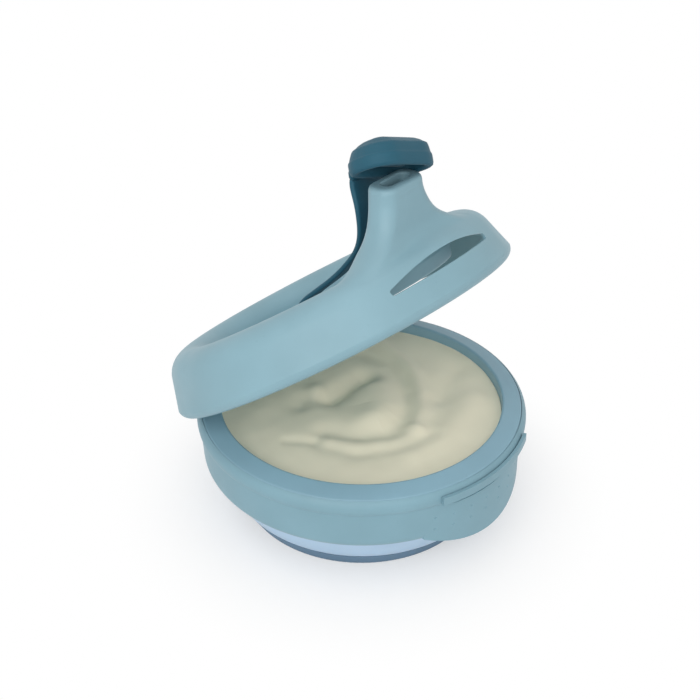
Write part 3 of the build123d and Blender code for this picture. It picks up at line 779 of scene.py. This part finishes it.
def dimple_cutter():
    """An object of small balls, half in the sleeve's thumb grip."""
    balls = bmesh.new()
    for level in DIMPLE_LEVELS:
        for n in range(DIMPLES):
            angle = math.radians(DIMPLE_FIRST + DIMPLE_STEP * n)
            swell = (GRIP_AHEAD * math.cos(angle)
                     + math.sqrt(GRIP_RADIUS ** 2 - (GRIP_AHEAD * math.sin(angle)) ** 2))
            reach = max(SLEEVE_RADIUS, swell) + DIMPLE_OUT
            spot = upright(reach * math.cos(angle), reach * math.sin(angle), level)
            bmesh.ops.create_icosphere(balls, subdivisions=3, radius=DIMPLE_RADIUS * MM,
                                       matrix=Matrix.Translation(spot))
    ball_mesh = bpy.data.meshes.new("dimples")
    balls.to_mesh(ball_mesh)
    balls.free()
    return new_object("dimples", ball_mesh)


def make_sleeve():
    """Sleeve: the same moulding with two rows of dimples pressed into its thumb grip."""
    sleeve_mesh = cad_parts["sleeve"].data.copy()
    sleeve_mesh.name = "sleeve_grip"
    sleeve_piece = new_object("sleeve_grip", sleeve_mesh)
    cutter = dimple_cutter()
    cut = sleeve_piece.modifiers.new("dimples", "BOOLEAN")
    cut.operation, cut.solver, cut.object = "DIFFERENCE", "EXACT", cutter
    bpy.context.view_layer.update()
    depsgraph = bpy.context.evaluated_depsgraph_get()
    cut_mesh = bpy.data.meshes.new_from_object(sleeve_piece.evaluated_get(depsgraph))
    sleeve_piece.modifiers.clear()
    if "custom_normal" in cut_mesh.attributes:
        cut_mesh.attributes.remove(cut_mesh.attributes["custom_normal"])
    cut_mesh.shade_smooth()
    cut_mesh.set_sharp_from_angle(angle=SHARP_FROM)
    sleeve_piece.data = cut_mesh
    bpy.data.objects.remove(cutter)
    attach(sleeve_piece, "base")
    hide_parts("sleeve")


# The puree's ridges and hollows: a line of points, its width and its height
FOOD_FORMS = [
    ([(-18.0, 29.6), (-7.7, 27.1), (0.9, 23.4), (9.0, 16.7), (15.5, 8.6), (19.0, 1.7)], 3.4, 1.25),
    ([(-17.8, 22.9), (-8.2, 23.6), (1.7, 19.0), (9.5, 11.6), (14.8, 2.7), (14.1, -5.8),
      (8.0, -12.3), (0.0, -16.6)], 4.0, -0.9),
    ([(-2.0, 8.0), (5.0, 3.0), (7.0, -2.0)], 6.5, 1.9),
    ([(-10.5, -2.5), (-9.6, 5.4), (-9.2, 11.5)], 4.0, -2.2),
    ([(4.3, -19.3), (13.9, -14.9), (19.9, -6.0), (21.9, 0.9)], 3.0, 0.5),
    ([(2.0, -22.5), (14.0, -18.5), (22.5, -8.0), (25.0, 2.0)], 3.0, -0.5),
    ([(-5.3, -27.5), (0.3, -22.8)], 2.0, -0.35),
    ([(-15.4, -2.8), (-15.0, -2.4)], 3.4, 0.9),
    ([(-24.0, -17.1), (-22.0, -20.0)], 5.0, 0.6),
    ([(-14.8, -11.3), (-16.0, -9.0)], 3.4, -0.8),
    ([(10.2, 33.5), (15.8, 18.4)], 4.5, -0.7),
    ([(24.0, 25.0), (28.0, 8.0), (26.0, -8.0)], 4.8, 0.7),
]


def ridge(x, y, points, width):
    """Height from 0 to 1 beside a line of points."""
    best = np.full_like(x, np.inf)
    for (ax, ay), (bx, by) in zip(points, points[1:]):
        span = (bx - ax) ** 2 + (by - ay) ** 2
        t = np.clip(((x - ax) * (bx - ax) + (y - ay) * (by - ay)) / span, 0, 1)
        best = np.minimum(best, np.hypot(x - ax - t * (bx - ax), y - ay - t * (by - ay)))
    return np.exp(-(best / width) ** 2)


def food_height(x, y):
    """Height of the puree over its level, in millimetres."""
    radius = np.hypot(x, y)
    around = np.arctan2(y, x)
    from_rim = np.maximum(FOOD_RADIUS - radius, 0.0)
    climb = np.exp(-(from_rim / FOOD_CLIMB_WIDTH) ** 1.2)
    height = (0.55 + 0.2 * np.sin(5 * around + 0.7)) * climb
    for points, width, amount in FOOD_FORMS:
        height = height + FOOD_RELIEF * amount * ridge(x, y, points, width)
    height = height + 0.16 * np.sin(x * 0.21 + 1.3 * np.sin(y * 0.13)) * np.cos(y * 0.17 + 0.5)
    height = height + 0.05 * np.sin(x * 0.62 + y * 0.35) * np.sin(y * 0.55 - x * 0.2)
    return height + 0.12 * np.sin(3 * around + 1.0) * np.clip(radius / FOOD_RADIUS, 0, 1) ** 3


def make_food():
    """Food: a stirred puree with a mound, a hollow beside it and ridges, climbing at the rim."""
    angles = 2 * np.pi * np.arange(FOOD_SPOKES) / FOOD_SPOKES
    verts = []
    for ring in range(1, FOOD_RINGS + 1):
        radius = FOOD_RADIUS * ring / FOOD_RINGS
        xs, ys = radius * np.cos(angles), radius * np.sin(angles)
        for x, y, z in zip(xs, ys, food_height(xs, ys)):
            verts.append(upright(x, y, FOOD_LEVEL + z))
    faces = ring_faces(FOOD_RINGS, FOOD_SPOKES)
    verts.append(upright(0, 0, FOOD_LEVEL + float(food_height(np.zeros(1), np.zeros(1))[0])))
    for k in range(FOOD_SPOKES):
        faces.append(((k + 1) % FOOD_SPOKES, k, len(verts) - 1))
    food = new_piece("food", verts, faces, food_finish, "base")
    food.data.flip_normals()
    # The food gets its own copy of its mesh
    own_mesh(food)


def plainly_seen(tree):
    """Socket that is 1 where the camera looks, also by way of a mirroring or a clear surface."""
    rays = add(tree, "ShaderNodeLightPath").outputs
    seen = rays["Is Camera Ray"]
    for other in ("Is Glossy Ray", "Is Transmission Ray"):
        seen = maths(tree, "MAXIMUM", seen, rays[other])
    return seen


def floor_paper():
    """White paper that keeps the object's shadow and fades to pure white away from it."""
    material = new_material("floor_paper")
    tree = material.node_tree
    paper = add(tree, "ShaderNodeBsdfDiffuse", {"Color": (PAPER_WHITE, PAPER_WHITE, PAPER_WHITE, 1)})
    glow = add(tree, "ShaderNodeEmission", {"Color": (1, 1, 1, 1), "Strength": 1.0})
    place = add(tree, "ShaderNodeTexCoord").outputs["Object"]
    away = add(tree, "ShaderNodeVectorMath", {0: place}, operation="LENGTH").outputs["Value"]
    fade = add(tree, "ShaderNodeMapRange", {"Value": away, "From Min": FADE_FROM,
                                            "From Max": FADE_TO, "To Min": FADE_LEAST},
               interpolation_type="SMOOTHSTEP").outputs["Result"]
    factor = maths(tree, "MULTIPLY", fade, plainly_seen(tree))
    both = add(tree, "ShaderNodeMixShader", {0: factor, 1: paper.outputs[0], 2: glow.outputs[0]})
    add(tree, "ShaderNodeOutputMaterial", {"Surface": both.outputs[0]})
    return material


def make_floor():
    """Floor: a wide sheet under the foot."""
    floor_mesh = bpy.data.meshes.new("floor")
    corners = [(x * FLOOR_HALF, y * FLOOR_HALF, 0) for x, y in ((-1, -1), (1, -1), (1, 1), (-1, 1))]
    floor_mesh.from_pydata(corners, [], [(0, 1, 2, 3)])
    floor_mesh.materials.append(floor_paper())
    floor = new_object("floor", floor_mesh)


def make_world():
    """Surroundings: a soft light from all sides, and pure white where they are seen."""
    world = bpy.data.worlds.new("studio")
    bpy.context.scene.world = world
    world.use_nodes = True
    tree = world.node_tree
    tree.nodes.clear()
    ambient, white = (add(tree, "ShaderNodeBackground", {"Color": (1, 1, 1, 1), "Strength": strength})
                      for strength in (AMBIENT, 1.0))
    both = add(tree, "ShaderNodeMixShader",
               {0: plainly_seen(tree), 1: ambient.outputs[0], 2: white.outputs[0]})
    add(tree, "ShaderNodeOutputWorld", {"Surface": both.outputs[0]})


def softbox(name, place, size, power):
    """A square area lamp that faces the object's middle."""
    lamp = bpy.data.lights.new(name, "AREA")
    lamp.shape = "SQUARE"
    lamp.size = size
    lamp.energy = power
    holder = new_object(name, lamp)
    holder.location = place
    holder.rotation_euler = (LAMP_TARGET - place).to_track_quat("-Z", "Y").to_euler()


def make_lights_and_camera():
    """Softboxes placed right, ahead and up of the object as the camera sees it, and the camera."""
    look = (CAMERA_TARGET - CAMERA_PLACE).normalized()
    up = Vector((0, 0, 1))
    right = look.cross(up).normalized()
    ahead = Vector((look.x, look.y, 0)).normalized()
    for name, to_right, to_ahead, to_up, size, power in (
            ("key_left", -0.42, -0.75, 0.6, 0.7, 2.9),
            ("top", -0.2, 0.0, 1.1, 0.7, 1.8),
            ("front", 0.12, -0.85, 0.66, 0.6, 2.2),
            ("fill_right", 0.8, -0.4, 0.4, 0.6, 0.5)):
        softbox(name, right * to_right + ahead * to_ahead + up * to_up, size, power)
    camera_data = bpy.data.cameras.new("camera")
    camera_data.sensor_width = CAMERA_SENSOR
    camera_data.lens = CAMERA_LENS
    camera_data.clip_start = CAMERA_NEAREST
    camera = new_object("camera", camera_data)
    camera.location = CAMERA_PLACE
    camera.rotation_euler = look.to_track_quat("-Z", "Y").to_euler()
    bpy.context.scene.camera = camera


dress_nodes()
make_bowl()
make_seal()
make_anchor()
make_spout_skin()
make_lid_shell()
make_cap_hood()
make_stopper()
make_strap()
make_pad()
make_sleeve()
make_food()
make_floor()
make_world()
make_lights_and_camera()
bpy.context.scene.view_settings.view_transform = "Standard"
